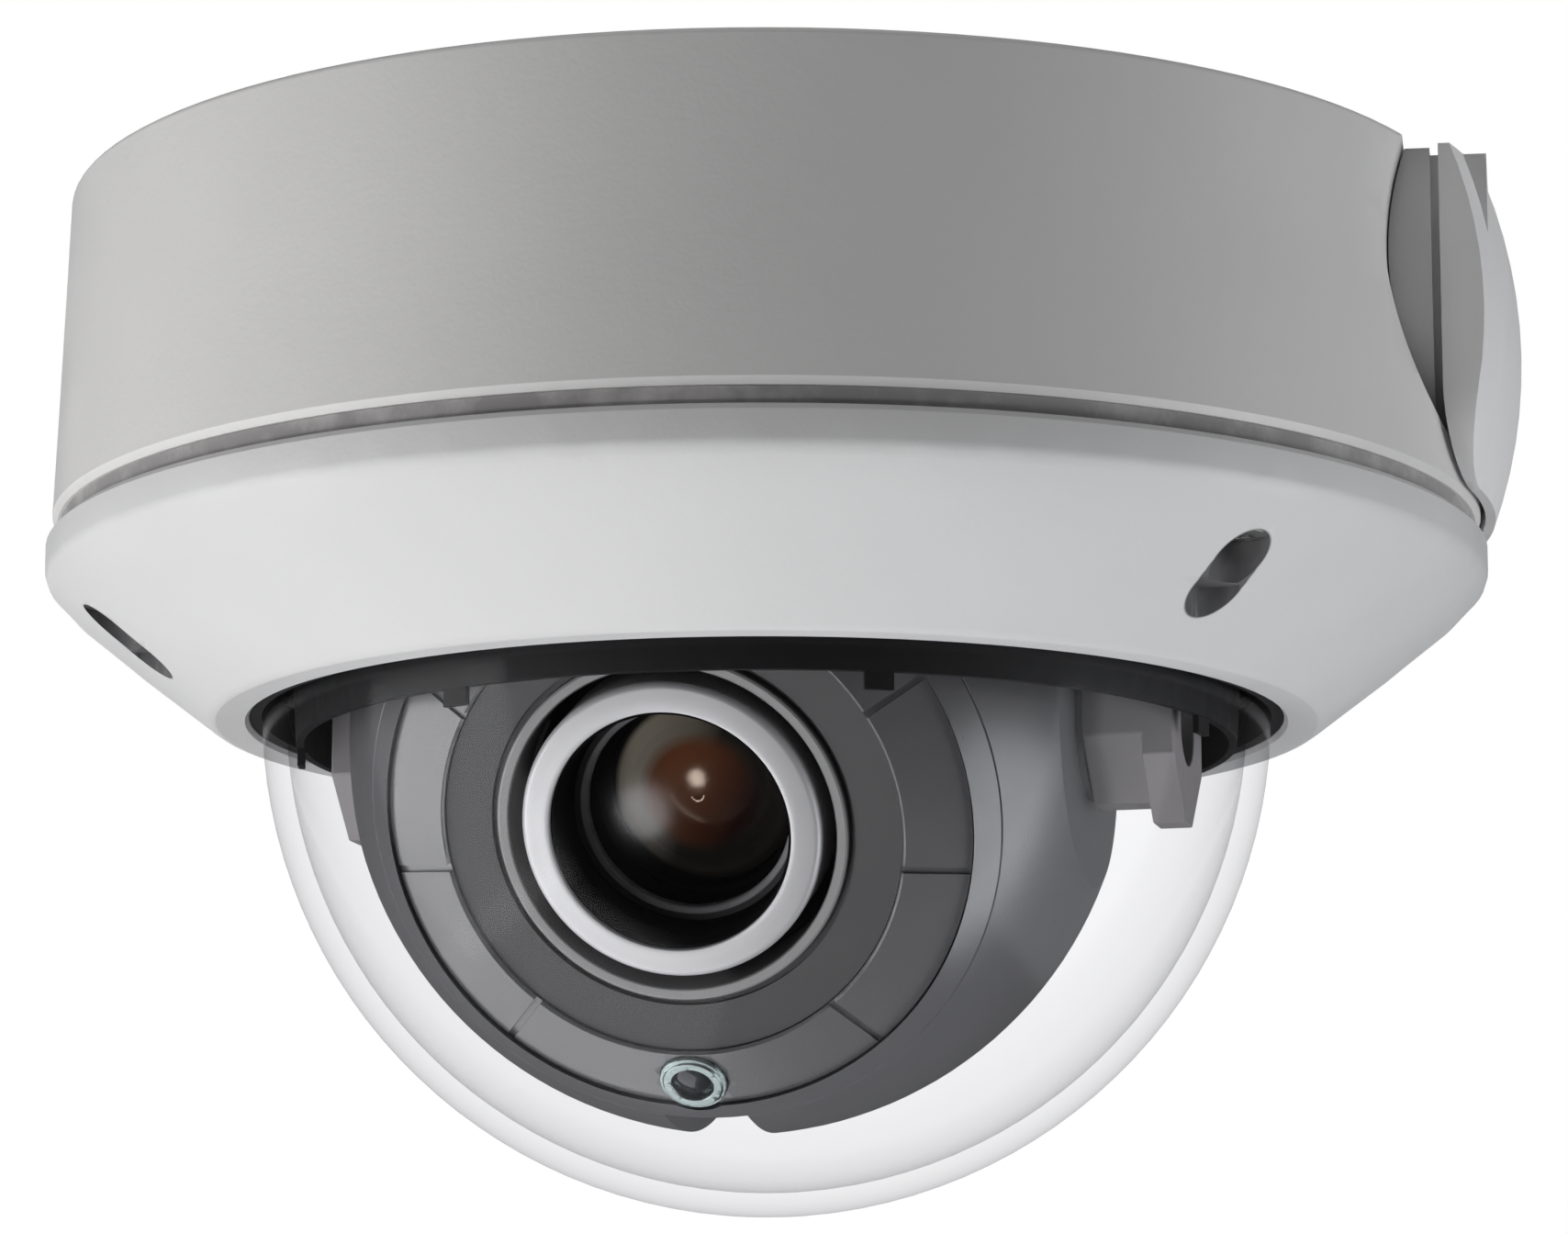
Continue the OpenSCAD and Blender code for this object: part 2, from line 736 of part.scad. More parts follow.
module lens_bezel() {
    color("silver") eye_frame() rotate_extrude($fn = round_fn) polygon([
        [bezel_in_r, 24.65], [bezel_in_r, bezel_h - 0.9], [bezel_in_r + 0.5, bezel_h - 0.2],
        [bezel_in_r + 1, bezel_h], [bezel_r - 0.8, bezel_h], [bezel_r - 0.2, bezel_h - 0.25],
        [bezel_r, bezel_h - 0.8],
        [bezel_r, 20.4], [tube_r + 0.04, 20.4], [tube_r + 0.04, 24.65]]);
}

module lens_baffle() {
    color("dimgray") eye_frame() rotate_extrude($fn = round_fn) polygon([
        [10.05, 20.52], [11.45, 20.52], [11.45, 21.7], [11.2, 21.9], [10.2, 21.6], [10.05, 21.4]]);
}

module front_glass() {
    color("saddlebrown") eye_frame() intersection() {
        rod(9.3, 12.5, 18.4, round_fn);
        translate([0, 0, 1]) sphere(r = 16.6, $fn = round_fn);
    }
}

module middle_glass() {
    color("saddlebrown") eye_frame() intersection() {
        rod(7, 3, 8, round_fn);
        translate([0, 0, -8]) sphere(r = 16, $fn = round_fn);
    }
}

module rear_glass() {
    color("saddlebrown") eye_frame() intersection() {
        rod(7, -10, -5, round_fn);
        translate([0, 0, 6]) sphere(r = 16, $fn = round_fn);
    }
}

module filter_switcher() {
    color("black") eye_frame() difference() {
        translate([-8, -7, -16.6]) cube([16, 14, 3.4]);
        translate([-4, -3.5, -20]) cube([8, 7, 10]);
    }
}

module image_board() {
    color("darkgreen") eye_frame() difference() {
        translate([-board_half, -board_half, image_z - board_t])
            cube([2 * board_half, 2 * board_half, board_t]);
        for (x = [-1, 1], y = [-1, 1]) translate([spacer_at * x, spacer_at * y, 0]) rod(1.15, -30, -14);
    }
}

module image_sensor() {
    color("black") eye_frame() union() {
        translate([-5, -4.5, image_z]) cube([10, 9, 1.2]);
        translate([-3.6, -2.8, image_z + 1.2 - eps]) cube([7.2, 5.6, 0.4]);
    }
}

module processor_board() {
    color("darkgreen") eye_frame() difference() {
        translate([-chip_board_half, -chip_board_half, proc_z - board_t])
            cube([2 * chip_board_half, 2 * chip_board_half, board_t]);
        for (x = [-1, 1], y = [-1, 1]) translate([spacer_at * x, spacer_at * y, 0]) rod(1.15, -40, -14);
    }
}

module processor_chips() {
    back = proc_z - board_t;
    color("black") eye_frame() {
        translate([-6, -5, back - 1.2]) cube([12, 12, 1.2]);
        translate([-5, 8.5, back - 1]) cube([10, 4, 1]);
        translate([-7, -12.6, back - 3]) cube([14, 4, 3]);
    }
}

module board_spacers() {
    color("gold") eye_frame() for (x = [-1, 1], y = [-1, 1]) translate([spacer_at * x, spacer_at * y, 0])
        tube(2.2, 1.15, proc_z, image_z - board_t, small_fn);
}

module lens_board_screws() {
    back = proc_z - board_t;
    color("lightgray") eye_frame()
        for (x = [-1, 1], y = [-1, 1]) translate([spacer_at * x, spacer_at * y, 0])
        difference() {
            union() {
                rod(2, back - 1.4, back);
                rod(1, back - 0.1, image_z + 4);
            }
            cross_slot(back - 1.4, 2.4);
        }
}

// Ring that turns on the lens tube, gripped by fine flutes, from height h0 up to h1
module grip_ring(h0, h1) {
    difference() {
        tube(15.8, tube_r + 0.07, h0, h1);
        for (i = [0 : 35]) rotate([0, 0, i * 10 + 5]) translate([16.1, 0, 0]) rod(0.55, h0 + 1, h1 - 1, 16);
        translate([0, 0, (h0 + h1) / 2]) rotate([-90, 0, 0]) rod(1.25, 10, 20);
    }
}

// Clamping knob that stands up out of a ring at height h
module ring_knob(h) {
    translate([0, 0, h]) rotate([-90, 0, 0]) difference() {
        union() {
            rod(1.2, 13.8, 19);
            rod(2.6, 18.4, 22.8);
            rod(2.1, 16.4, 18.5);
        }
        for (i = [0 : 11]) rotate([0, 0, i * 30]) translate([2.75, 0, 0]) rod(0.35, 19, 24, 16);
    }
}

module zoom_ring() {
    color("black") eye_frame() grip_ring(-1.6, 7.4);
}

module zoom_knob() {
    color("dimgray") eye_frame() ring_knob(2.9);
}

module focus_ring() {
    color("black") eye_frame() grip_ring(8, 19.4);
}

module focus_knob() {
    color("dimgray") eye_frame() ring_knob(13.7);
}

base_housing();
side_outlet_plug();
cable_grommet();
chassis_plate();
chassis_screws();
power_board();
power_board_screws();
power_capacitors();
power_connectors();
power_coil();
cover_ring();
cover_gasket();
dome_bubble();
dome_seal();
dome_retainer();
retainer_screws();
light_shield();
cover_screws();
screw_clips();
pan_yoke();
pan_washer();
pan_lock_ring();
tilt_pivot_screws();
eye_rear_shell();
eye_front_shell();
eye_front_ring();
lens_shroud();
light_sensor_bezel();
light_sensor_window();
lens_carrier();
carrier_screws();
lens_holder();
lens_clamp_ring();
lens_tube();
lens_bezel();
lens_baffle();
front_glass();
middle_glass();
rear_glass();
filter_switcher();
image_board();
image_sensor();
processor_board();
processor_chips();
board_spacers();
lens_board_screws();
zoom_ring();
zoom_knob();
focus_ring();
focus_knob();
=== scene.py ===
import json
import math

import bmesh
import bpy
from mathutils import Matrix, Vector


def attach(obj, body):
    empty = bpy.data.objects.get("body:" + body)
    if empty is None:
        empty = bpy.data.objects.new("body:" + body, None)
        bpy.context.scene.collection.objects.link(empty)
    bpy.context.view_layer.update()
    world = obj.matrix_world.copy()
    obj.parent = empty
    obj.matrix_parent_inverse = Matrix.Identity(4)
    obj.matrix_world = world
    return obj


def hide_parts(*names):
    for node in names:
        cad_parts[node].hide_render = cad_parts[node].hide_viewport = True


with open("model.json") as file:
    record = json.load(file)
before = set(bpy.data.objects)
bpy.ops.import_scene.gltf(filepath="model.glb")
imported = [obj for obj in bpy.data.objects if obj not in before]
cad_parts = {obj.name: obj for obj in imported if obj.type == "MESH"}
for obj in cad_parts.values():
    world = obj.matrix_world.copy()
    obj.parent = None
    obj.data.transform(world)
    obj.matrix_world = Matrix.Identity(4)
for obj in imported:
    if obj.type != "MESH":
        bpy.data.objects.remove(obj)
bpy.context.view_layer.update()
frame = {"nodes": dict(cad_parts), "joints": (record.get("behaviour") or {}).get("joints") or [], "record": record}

NODES = frame["nodes"]
JOINTS = {joint["name"]: joint for joint in frame["joints"]}
SLOT_OF = {part["node"]: part["material_slot"] for part in frame["record"]["subparts"]}
MM = 0.001
LATHE_STEPS = 240

# The eyeball's own frame: +Z is the optical axis, +X the tilt axis, and its origin is its centre
EYE_CENTRE = Vector(JOINTS["tilt_turn"]["pos_m"])
OPTICAL_AXIS = Vector(JOINTS["lens_turn"]["axis"]).normalized()
TILT_AXIS = Vector(JOINTS["tilt_turn"]["axis"]).normalized()
EYE_UP = OPTICAL_AXIS.cross(TILT_AXIS)
EYE_FRAME = Matrix.Translation(EYE_CENTRE) @ Matrix(
    (TILT_AXIS, EYE_UP, OPTICAL_AXIS)).transposed().to_4x4()

# Places on the CAD that the finishes follow: azimuths in degrees from the front to the right,
# the rest in metres. An edge or wall is a pair, where its tone starts and where it ends.
SCREW_AZIMUTHS = (41.5, 161.5, 281.5)
POCKET_RADII = (0.0625, 0.0635, 0.0645, 0.0655)
# Where the painted shade on the screw pocket walls starts and ends
POCKET_WALL = (0.00285, 0.00305)
# Where the painted highlight on the shroud's lip starts and ends, inside and outside
LIP_INSIDE = (0.01606, 0.01616)
LIP_OUTSIDE = (0.01704, 0.01714)
# Where the painted highlight on the step ring's rim ends
STEP_RIM_EDGE = (0.01055, 0.0107)
# Zones of the lens glass: its painted amber glow, its rougher rim, and its painted shade at the rim
GLASS_AMBER_EDGE = (0.0048, 0.0062)
GLASS_DULL_EDGE = (0.0066, 0.0086)
GLASS_BLACK_EDGE = (0.0083, 0.0089)

# Small parts on the boards, and the faces they sit on, in millimetres
POWER_BOARD_FACE = -13.6
PROCESSOR_BOARD_FACE = -28.6
RESISTOR_BODY = (1.1, 0.8, 0.5)
RESISTOR_END = (0.4, 0.84, 0.44)
CHIP_HEIGHT = 1.3
LEAD_PITCH = 1.27
LEAD_SIZE = (0.42, 0.9, 0.2)

# The camera matched to the photograph, with its lens and sensor in millimetres and its angles
# in degrees, and the room, in metres
CAMERA_PLACE = (0, -0.55135, -0.14373)
CAMERA_PITCH = 100.58
CAMERA_YAW = -0.18
CAMERA_LENS = 127.97
CAMERA_SENSOR = 36
LIGHT_TARGET = (0, 0, -0.05)
FLOOR_HEIGHT = -1.3
FLOOR_HALF_WIDTH = 60
AMBIENT = 0.085


# ---------------------------------------------------------------- materials

class Graph:
    """A material's node tree, with one short call for each kind of node that the finishes use."""

    def __init__(self, name):
        self.material = bpy.data.materials.new(name)
        self.material.use_nodes = True
        self.tree = self.material.node_tree
        self.tree.nodes.clear()

    def node(self, kind, values=(), **settings):
        made = self.tree.nodes.new(kind)
        for key, value in settings.items():
            setattr(made, key, value)
        for key, value in dict(values).items():
            self.feed(made.inputs[key], value)
        return made

    def feed(self, socket, value):
        if isinstance(value, bpy.types.NodeSocket):
            self.tree.links.new(value, socket)
        elif hasattr(value, "__len__") and len(value) == 3 and socket.type == "RGBA":
            socket.default_value = (*value, 1)
        else:
            socket.default_value = value

    def coords(self):
        """Object coordinates in metres."""
        return self.node("ShaderNodeTexCoord").outputs["Object"]

    def place(self, stretch=(1, 1, 1)):
        """Coordinates scaled along each axis: a larger scale draws a pattern finer that way."""
        values = {"Vector": self.coords(), "Scale": stretch}
        return self.node("ShaderNodeMapping", values).outputs[0]

    def around(self, centre, axis):
        """Coordinates of a turned part: distance from its axis, and distance along it."""
        arm = self.vector("SUBTRACT", self.coords(), centre)
        along = self.vector("DOT_PRODUCT", arm, axis, output="Value")
        shaft = self.node(
            "ShaderNodeVectorMath", {0: axis, "Scale": along}, operation="SCALE").outputs[0]
        radius = self.vector("LENGTH", self.vector("SUBTRACT", arm, shaft), output="Value")
        return self.node("ShaderNodeCombineXYZ", {"X": radius, "Y": along}).outputs[0]

    def lens_radius(self):
        """Distance in metres from the optical axis."""
        where = self.around(EYE_CENTRE, OPTICAL_AXIS)
        return self.node("ShaderNodeSeparateXYZ", {"Vector": where}).outputs[0]

    def vector(self, operation, first, second=None, output="Vector"):
        values = {0: first} if second is None else {0: first, 1: second}
        return self.node("ShaderNodeVectorMath", values, operation=operation).outputs[output]

    def noise(self, scale, detail=2.0, where=None, rough=0.5):
        values = {"Vector": where or self.place(), "Scale": scale,
                  "Detail": detail, "Roughness": rough}
        return self.node("ShaderNodeTexNoise", values).outputs["Fac"]

    def cells(self, scale, output="Distance"):
        values = {"Vector": self.place(), "Scale": scale}
        return self.node("ShaderNodeTexVoronoi", values).outputs[output]

    def spread(self, value, low, high, start=0.3, end=0.7):
        """A value that runs from start to end, drawn out over low to high and clamped there."""
        values = {"Value": value, "From Min": start, "From Max": end,
                  "To Min": low, "To Max": high}
        return self.node("ShaderNodeMapRange", values).outputs[0]

    def math(self, operation, first, second=0.0):
        return self.node("ShaderNodeMath", {0: first, 1: second}, operation=operation).outputs[0]

    def blend(self, share, first, second):
        values = {"Factor": share, 6: first, 7: second}
        return self.node("ShaderNodeMix", values, data_type="RGBA").outputs[2]

    def bump(self, height, depth, under=None):
        """Bump of a depth in metres, over the normal of the bump under it."""
        values = {"Height": height, "Distance": depth}
        if under is not None:
            values["Normal"] = under
        return self.node("ShaderNodeBump", values).outputs[0]

    def principled(self, **values):
        """A Principled BSDF; its inputs are named with underscores for spaces."""
        names = {key: key.replace("_", " ") for key in values}
        names["Specular"] = "Specular IOR Level"
        return self.node("ShaderNodeBsdfPrincipled",
                         {names[key]: value for key, value in values.items()}).outputs[0]

    def close(self, shader):
        self.node("ShaderNodeOutputMaterial", {"Surface": shader})
        return self.material


def shade(colour, factor):
    return tuple(channel * factor for channel in colour)


def screw_distance(g):
    """Distance in plan from the middle lines of the three screw pockets."""
    flat = g.vector("MULTIPLY", g.coords(), (1, 1, 0))
    nearest = None
    for azimuth in SCREW_AZIMUTHS:
        turn = math.radians(azimuth)
        for radius in POCKET_RADII:
            spot = (radius * math.sin(turn), -radius * math.cos(turn), 0)
            distance = g.vector("DISTANCE", flat, spot, output="Value")
            nearest = distance if nearest is None else g.math("MINIMUM", nearest, distance)
    return nearest


def painted(name, colour, pockets=False):
    """Powder paint on a casting: orange peel, a fine grain, and barely uneven tone and gloss.

    With pockets, the walls of the screw pockets are painted a mottled dark grey: painted shade, for the shade deep
    in the pockets."""
    g = Graph(name)
    cloud = g.noise(24, detail=3)
    tone = g.blend(g.spread(cloud, 0, 1), shade(colour, 0.97), shade(colour, 1.02))
    grain = g.noise(2600, detail=1)
    tone = g.blend(g.spread(grain, 0, 0.06, 0.6, 0.75), tone, shade(colour, 0.75))
    # Painted shade: the screw pocket walls are darkened to a mottled dark grey, where shade falls deep in the
    # pockets.
    if pockets:
        shade_mottle = g.spread(g.noise(300, detail=3), 0, 1)
        pocket_shade = g.blend(shade_mottle, (0.1, 0.1, 0.105), (0.16, 0.16, 0.165))
        tone = g.blend(g.spread(screw_distance(g), 1, 0, *POCKET_WALL), tone, pocket_shade)
    peel = g.bump(g.noise(520, detail=2), 0.00005)
    return g.close(g.principled(
        Base_Color=tone, Roughness=g.spread(g.noise(90, detail=4), 0.37, 0.48),
        Specular=0.4, Normal=g.bump(grain, 0.000012, peel)))


def shroud(name, colour, lip_highlight_colour):
    """Lens shroud: moulded plastic, with the top of its raised lip smoother and painted a lighter grey, a painted
    highlight.
    """
    g = Graph(name)
    radius = g.lens_radius()
    # Painted highlight: the top of the lip is a lighter grey, and smoother.
    lip = g.math(
        "MULTIPLY", g.spread(radius, 0, 1, *LIP_INSIDE), g.spread(radius, 1, 0, *LIP_OUTSIDE))
    grain = g.noise(2200, detail=3, rough=0.6)
    tone = g.blend(g.spread(g.noise(40, detail=3), 0, 1), shade(colour, 0.94), shade(colour, 1.06))
    marks = g.noise(60, detail=5)
    rough = g.math("ADD", g.spread(marks, 0.45, 0.51), g.spread(grain, -0.02, 0.02))
    rough = g.math("MULTIPLY", rough, g.spread(lip, 1, 0.75, 0, 1))
    return g.close(g.principled(
        Base_Color=g.blend(lip, tone, lip_highlight_colour), Roughness=rough, Specular=0.5,
        Normal=g.bump(grain, 0.000012)))


def moulded(name, colour, gloss=0.5, grain_depth=0.00002, specular=0.5, rub=0.06, wear=0.07):
    """Moulded plastic with the fine texture of an eroded tool, and faint rub marks.

    gloss is the middle roughness, wear how far it varies, and rub how far the tone varies."""
    g = Graph(name)
    cloud = g.noise(40, detail=3)
    tone = g.blend(g.spread(cloud, 0, 1), shade(colour, 1 - rub), shade(colour, 1 + rub))
    marks = g.noise(60, detail=5, where=g.place((1, 7, 2)), rough=0.7)
    grain = g.noise(2200, detail=3, rough=0.6)
    rough = g.math(
        "ADD", g.spread(marks, gloss - wear, gloss + wear), g.spread(grain, -0.02, 0.02))
    return g.close(g.principled(
        Base_Color=tone, Roughness=rough, Specular=specular, Normal=g.bump(grain, grain_depth)))


def rubber(name, colour):
    """Matt rubber with a dusty bloom."""
    g = Graph(name)
    bloom = g.noise(160, detail=5, rough=0.65)
    tone = g.blend(g.spread(bloom, 0, 1, 0.45, 0.75), colour, shade(colour, 1.7))
    return g.close(g.principled(
        Base_Color=tone, Roughness=g.spread(bloom, 0.62, 0.82), Specular=0.3,
        Normal=g.bump(g.noise(1500), 0.00002)))


def zinc(name, colour):
    """Zinc plated sheet: faint spangle and brush lines along the sheet."""
    g = Graph(name)
    spangle = g.cells(230, output="Color")
    grey = g.node("ShaderNodeSeparateColor", {"Color": spangle}).outputs[0]
    lines = g.noise(90, detail=6, where=g.place((1, 30, 1)), rough=0.75)
    tone = g.blend(g.spread(grey, 0, 1, 0, 1), shade(colour, 0.86), shade(colour, 1.05))
    return g.close(g.principled(
        Base_Color=tone, Metallic=1.0, Roughness=g.spread(lines, 0.28, 0.46),
        Normal=g.bump(lines, 0.00001)))


def turned(name, colour, gloss=0.3, metallic=1.0, specular=0.5):
    """Metal turned on a lathe: fine rings about the optical axis, under light handling marks."""
    g = Graph(name)
    where = g.around(EYE_CENTRE, OPTICAL_AXIS)
    rings = g.noise(2600, detail=2, where=where)
    wide = g.noise(420, detail=1, where=where)
    haze = g.noise(150, detail=4)
    tone = g.blend(g.spread(wide, 0, 1), shade(colour, 0.92), shade(colour, 1.04))
    rough = g.math(
        "ADD", g.spread(rings, gloss - 0.04, gloss + 0.05), g.spread(haze, 0, 0.08, 0.45, 0.8))
    return g.close(g.principled(
        Base_Color=tone, Metallic=metallic, Roughness=rough, Specular=specular,
        Normal=g.bump(rings, 0.000006)))


def screw_metal(name, colour):
    """Machine screw steel with a driver's light scuffs."""
    g = Graph(name)
    scuff = g.noise(700, detail=5, where=g.place((1, 4, 1)), rough=0.7)
    tone = g.blend(g.spread(scuff, 0, 1), shade(colour, 0.8), colour)
    return g.close(g.principled(
        Base_Color=tone, Metallic=1.0, Roughness=g.spread(scuff, 0.2, 0.42),
        Normal=g.bump(scuff, 0.00001)))


def board(name, mask):
    """Circuit board: copper lands and tracks under a glossy solder mask."""
    g = Graph(name)
    values = {"Vector": g.place(), "Scale": 320.0, "Mortar Size": 0.12, "Row Height": 0.35,
              "Brick Width": 1.3}
    tracks = g.node(
        "ShaderNodeTexBrick", values, offset=0.37, squash=1.4, squash_frequency=3).outputs["Fac"]
    area = g.spread(g.noise(110, detail=0), 0, 1, 0.46, 0.5)
    copper = g.math("MULTIPLY", tracks, area)
    vias = g.spread(g.cells(420), 1, 0, 0.12, 0.16)
    tone = g.blend(copper, mask, shade(mask, 1.9))
    tone = g.blend(vias, tone, (0.45, 0.42, 0.3))
    return g.close(g.principled(
        Base_Color=tone, Roughness=g.spread(g.noise(300), 0.22, 0.36),
        Metallic=g.spread(vias, 0, 0.7, 0, 1),
        Normal=g.bump(g.math("ADD", copper, vias), 0.00003)))


def clear_moulding(name):
    """Clear polycarbonate: it passes most light, and mirrors a little at its outer skin."""
    g = Graph(name)
    waves = g.bump(g.noise(28, detail=1), 0.00004)
    slant = g.node("ShaderNodeLayerWeight", {"Blend": 0.5}).outputs["Facing"]
    tint = g.blend(g.math("POWER", slant, 4.0), (0.977, 0.977, 0.981), (0.928, 0.928, 0.94))
    clear = g.node("ShaderNodeBsdfTransparent", {"Color": tint}).outputs[0]
    haze = g.spread(g.noise(45, detail=4), 0, 1)
    skin = g.principled(
        Base_Color=g.blend(haze, (0.9, 0.9, 0.92), (0.8, 0.8, 0.82)), Metallic=1.0,
        Roughness=g.spread(g.noise(60, detail=4), 0.1, 0.16), Normal=waves)
    inside = g.node("ShaderNodeNewGeometry").outputs["Backfacing"]
    outside = g.math("SUBTRACT", 1.0, inside)
    mirror = g.math("ADD", g.math("MULTIPLY", g.math("POWER", slant, 5.0), 0.5), 0.012)
    share = g.math("MULTIPLY", mirror, outside)
    return g.close(g.node("ShaderNodeMixShader", {0: share, 1: clear, 2: skin}).outputs[0])


def lens_element(name):
    """Coated lens glass, coloured with painted reflections and painted shade: an amber glow in the middle and a
    light beige reflection around it, both shading to near black towards one side, and black towards the rim.
    """
    g = Graph(name)
    radius = g.lens_radius()
    # Painted light and shade: the glass is lit towards one side and shaded towards the other.
    corner = (TILT_AXIS - 0.5 * EYE_UP).normalized()
    arm = g.vector("SUBTRACT", g.coords(), EYE_CENTRE)
    side = g.vector("DOT_PRODUCT", arm, corner, output="Value")
    inner = g.blend(g.spread(side, 0, 1, -0.0035, 0.0045), (0.24, 0.08, 0.03), (0.03, 0.011, 0.01))
    outer = g.blend(g.spread(side, 0, 1, -0.0078, 0), (0.6, 0.53, 0.42), (0.03, 0.026, 0.022))
    tone = g.blend(g.spread(radius, 0, 1, *GLASS_AMBER_EDGE), inner, outer)
    # Painted shade: black towards the rim.
    tone = g.blend(g.spread(radius, 0, 1, *GLASS_BLACK_EDGE), tone, (0.004, 0.004, 0.0045))
    smear = g.spread(g.noise(260, detail=4), 0.1, 0.15)
    rough = g.math("ADD", smear, g.spread(radius, 0, 0.7, *GLASS_DULL_EDGE))
    return g.close(g.principled(
        Base_Color=tone, Roughness=rough, Specular=0.45, Specular_Tint=(1, 0.84, 0.68)))


def step_ring(name, colour, wall):
    """The light step in the barrel: its rim a lighter grey, a painted highlight, and its outer wall blackened."""
    g = Graph(name)
    wear = g.spread(g.noise(500, detail=3), 0, 1)
    # Painted highlight: the rim is a lighter grey all round, of uneven tone.
    rim = g.blend(wear, shade(colour, 0.85), shade(colour, 1.1))
    tone = g.blend(g.spread(g.lens_radius(), 0, 1, *STEP_RIM_EDGE), rim, wall)
    return g.close(g.principled(
        Base_Color=tone, Roughness=g.spread(wear, 0.45, 0.55, 0, 1), Specular=0.3))


SLOT_MATERIALS = {
    "housing_paint": lambda n: painted(n, (0.745, 0.737, 0.733)),
    # The cover's screw pocket walls carry painted shade.
    "cover_paint": lambda n: painted(n, (0.70, 0.70, 0.705), pockets=True),
    "plug_plastic": lambda n: moulded(n, (0.88, 0.875, 0.88), gloss=0.45, rub=0.02),
    "black_rubber": lambda n: rubber(n, (0.012, 0.012, 0.013)),
    "gasket_rubber": lambda n: rubber(n, (0.33, 0.32, 0.32)),
    "zinc_steel": lambda n: zinc(n, (0.62, 0.62, 0.6)),
    "screw_steel": lambda n: screw_metal(n, (0.72, 0.72, 0.71)),
    "circuit_board": lambda n: board(n, (0.012, 0.085, 0.035)),
    "capacitor_sleeve": lambda n: moulded(n, (0.015, 0.02, 0.07), gloss=0.25),
    "connector_plastic": lambda n: moulded(n, (0.72, 0.69, 0.6), gloss=0.45),
    "black_component": lambda n: moulded(n, (0.02, 0.02, 0.022), gloss=0.55),
    "clear_dome": clear_moulding,
    "black_plastic": lambda n: moulded(n, (0.006, 0.006, 0.007), gloss=0.6, specular=0.3),
    "yoke_plastic": lambda n: moulded(n, (0.29, 0.275, 0.285), gloss=0.5),
    "eyeball_plastic": lambda n: moulded(
        n, (0.13, 0.13, 0.137), gloss=0.3, grain_depth=0.000006, specular=0.8, wear=0.015),
    "front_ring_plastic": lambda n: moulded(
        n, (0.125, 0.125, 0.13), gloss=0.32, specular=1.0, wear=0.03),
    # The shroud's second colour is the painted highlight on its lip.
    "shroud_plastic": lambda n: shroud(n, (0.062, 0.061, 0.064), (0.3, 0.3, 0.3)),
    "sensor_bezel_metal": lambda n: screw_metal(n, (0.33, 0.39, 0.39)),
    "sensor_window_plastic": lambda n: moulded(
        n, (0.01, 0.012, 0.016), gloss=0.12, grain_depth=0.0),
    "lens_silver": lambda n: turned(n, (0.6, 0.6, 0.61), gloss=0.46, metallic=0.35),
    "lens_black": lambda n: turned(
        n, (0.005, 0.005, 0.0055), gloss=0.62, metallic=0.0, specular=0.0),
    # The step's lighter colour is its painted highlight.
    "baffle_grey": lambda n: step_ring(n, (0.26, 0.25, 0.26), (0.006, 0.006, 0.0065)),
    # The lens glass is coloured with painted reflections and painted shade.
    "lens_glass": lens_element,
    "image_chip": lambda n: moulded(n, (0.02, 0.03, 0.045), gloss=0.1, grain_depth=0.0),
    "brass": lambda n: turned(n, (0.72, 0.53, 0.22)),
    "knob_metal": lambda n: turned(n, (0.35, 0.35, 0.35)),
}
MATERIALS = {slot: make(slot) for slot, make in SLOT_MATERIALS.items()}


# ---------------------------------------------------------------- finishing the CAD nodes

def soften(node, width):
    """Rounds a CAD node's sharp edges by width millimetres, as moulding and paint do."""
    weld = node.modifiers.new("weld", "WELD")
    weld.merge_threshold = 0.000002
    bevel = node.modifiers.new("soft_edges", "BEVEL")
    bevel.width = width * MM
    bevel.segments = 2
    bevel.limit_method = "ANGLE"
    bevel.angle_limit = math.radians(32)
    bevel.harden_normals = True
    bevel.use_clamp_overlap = True
    normals = node.modifiers.new("even_shading", "WEIGHTED_NORMAL")
    normals.keep_sharp = True


for name, node in NODES.items():
    node.data.materials.clear()
    node.data.materials.append(MATERIALS[SLOT_OF[name]])

# Edge radii in millimetres of the nodes whose edges show
SOFT_EDGES = {"base_housing": 0.25, "cover_ring": 0.25, "side_outlet_plug": 0.25,
              "cover_screws": 0.12, "light_sensor_bezel": 0.12, "pan_yoke": 0.3,
              "eye_front_ring": 0.12}
for name, width in SOFT_EDGES.items():
    soften(NODES[name], width)


# ---------------------------------------------------------------- turned pieces of the lens

def add_object(name, data):
    made = bpy.data.objects.new(name, data)
    bpy.context.scene.collection.objects.link(made)
    return made


def mesh_object(name, mesh):
    """Puts a finished bmesh in the scene, and frees it."""
    data = bpy.data.meshes.new(name)
    mesh.to_mesh(data)
    mesh.free()
    return add_object(name, data)


def lathe(name, outline):
    """A closed outline of radii and heights in millimetres, turned about the optical axis."""
    mesh = bmesh.new()
    rows = []
    for step in range(LATHE_STEPS):
        turn = 2 * math.pi * step / LATHE_STEPS
        rows.append([mesh.verts.new((r * math.cos(turn) * MM, r * math.sin(turn) * MM, z * MM))
                     for r, z in outline])
    count = len(outline)
    for step, row in enumerate(rows):
        after = rows[(step + 1) % LATHE_STEPS]
        for i in range(count):
            k = (i + 1) % count
            mesh.faces.new((row[i], after[i], after[k], row[k]))
    bmesh.ops.recalc_face_normals(mesh, faces=mesh.faces)
    for face in mesh.faces:
        face.smooth = True
    for edge in mesh.edges:
        edge.smooth = edge.calc_face_angle(0) < math.radians(38)
    piece = mesh_object(name, mesh)
    piece.data.transform(EYE_FRAME)
    return piece


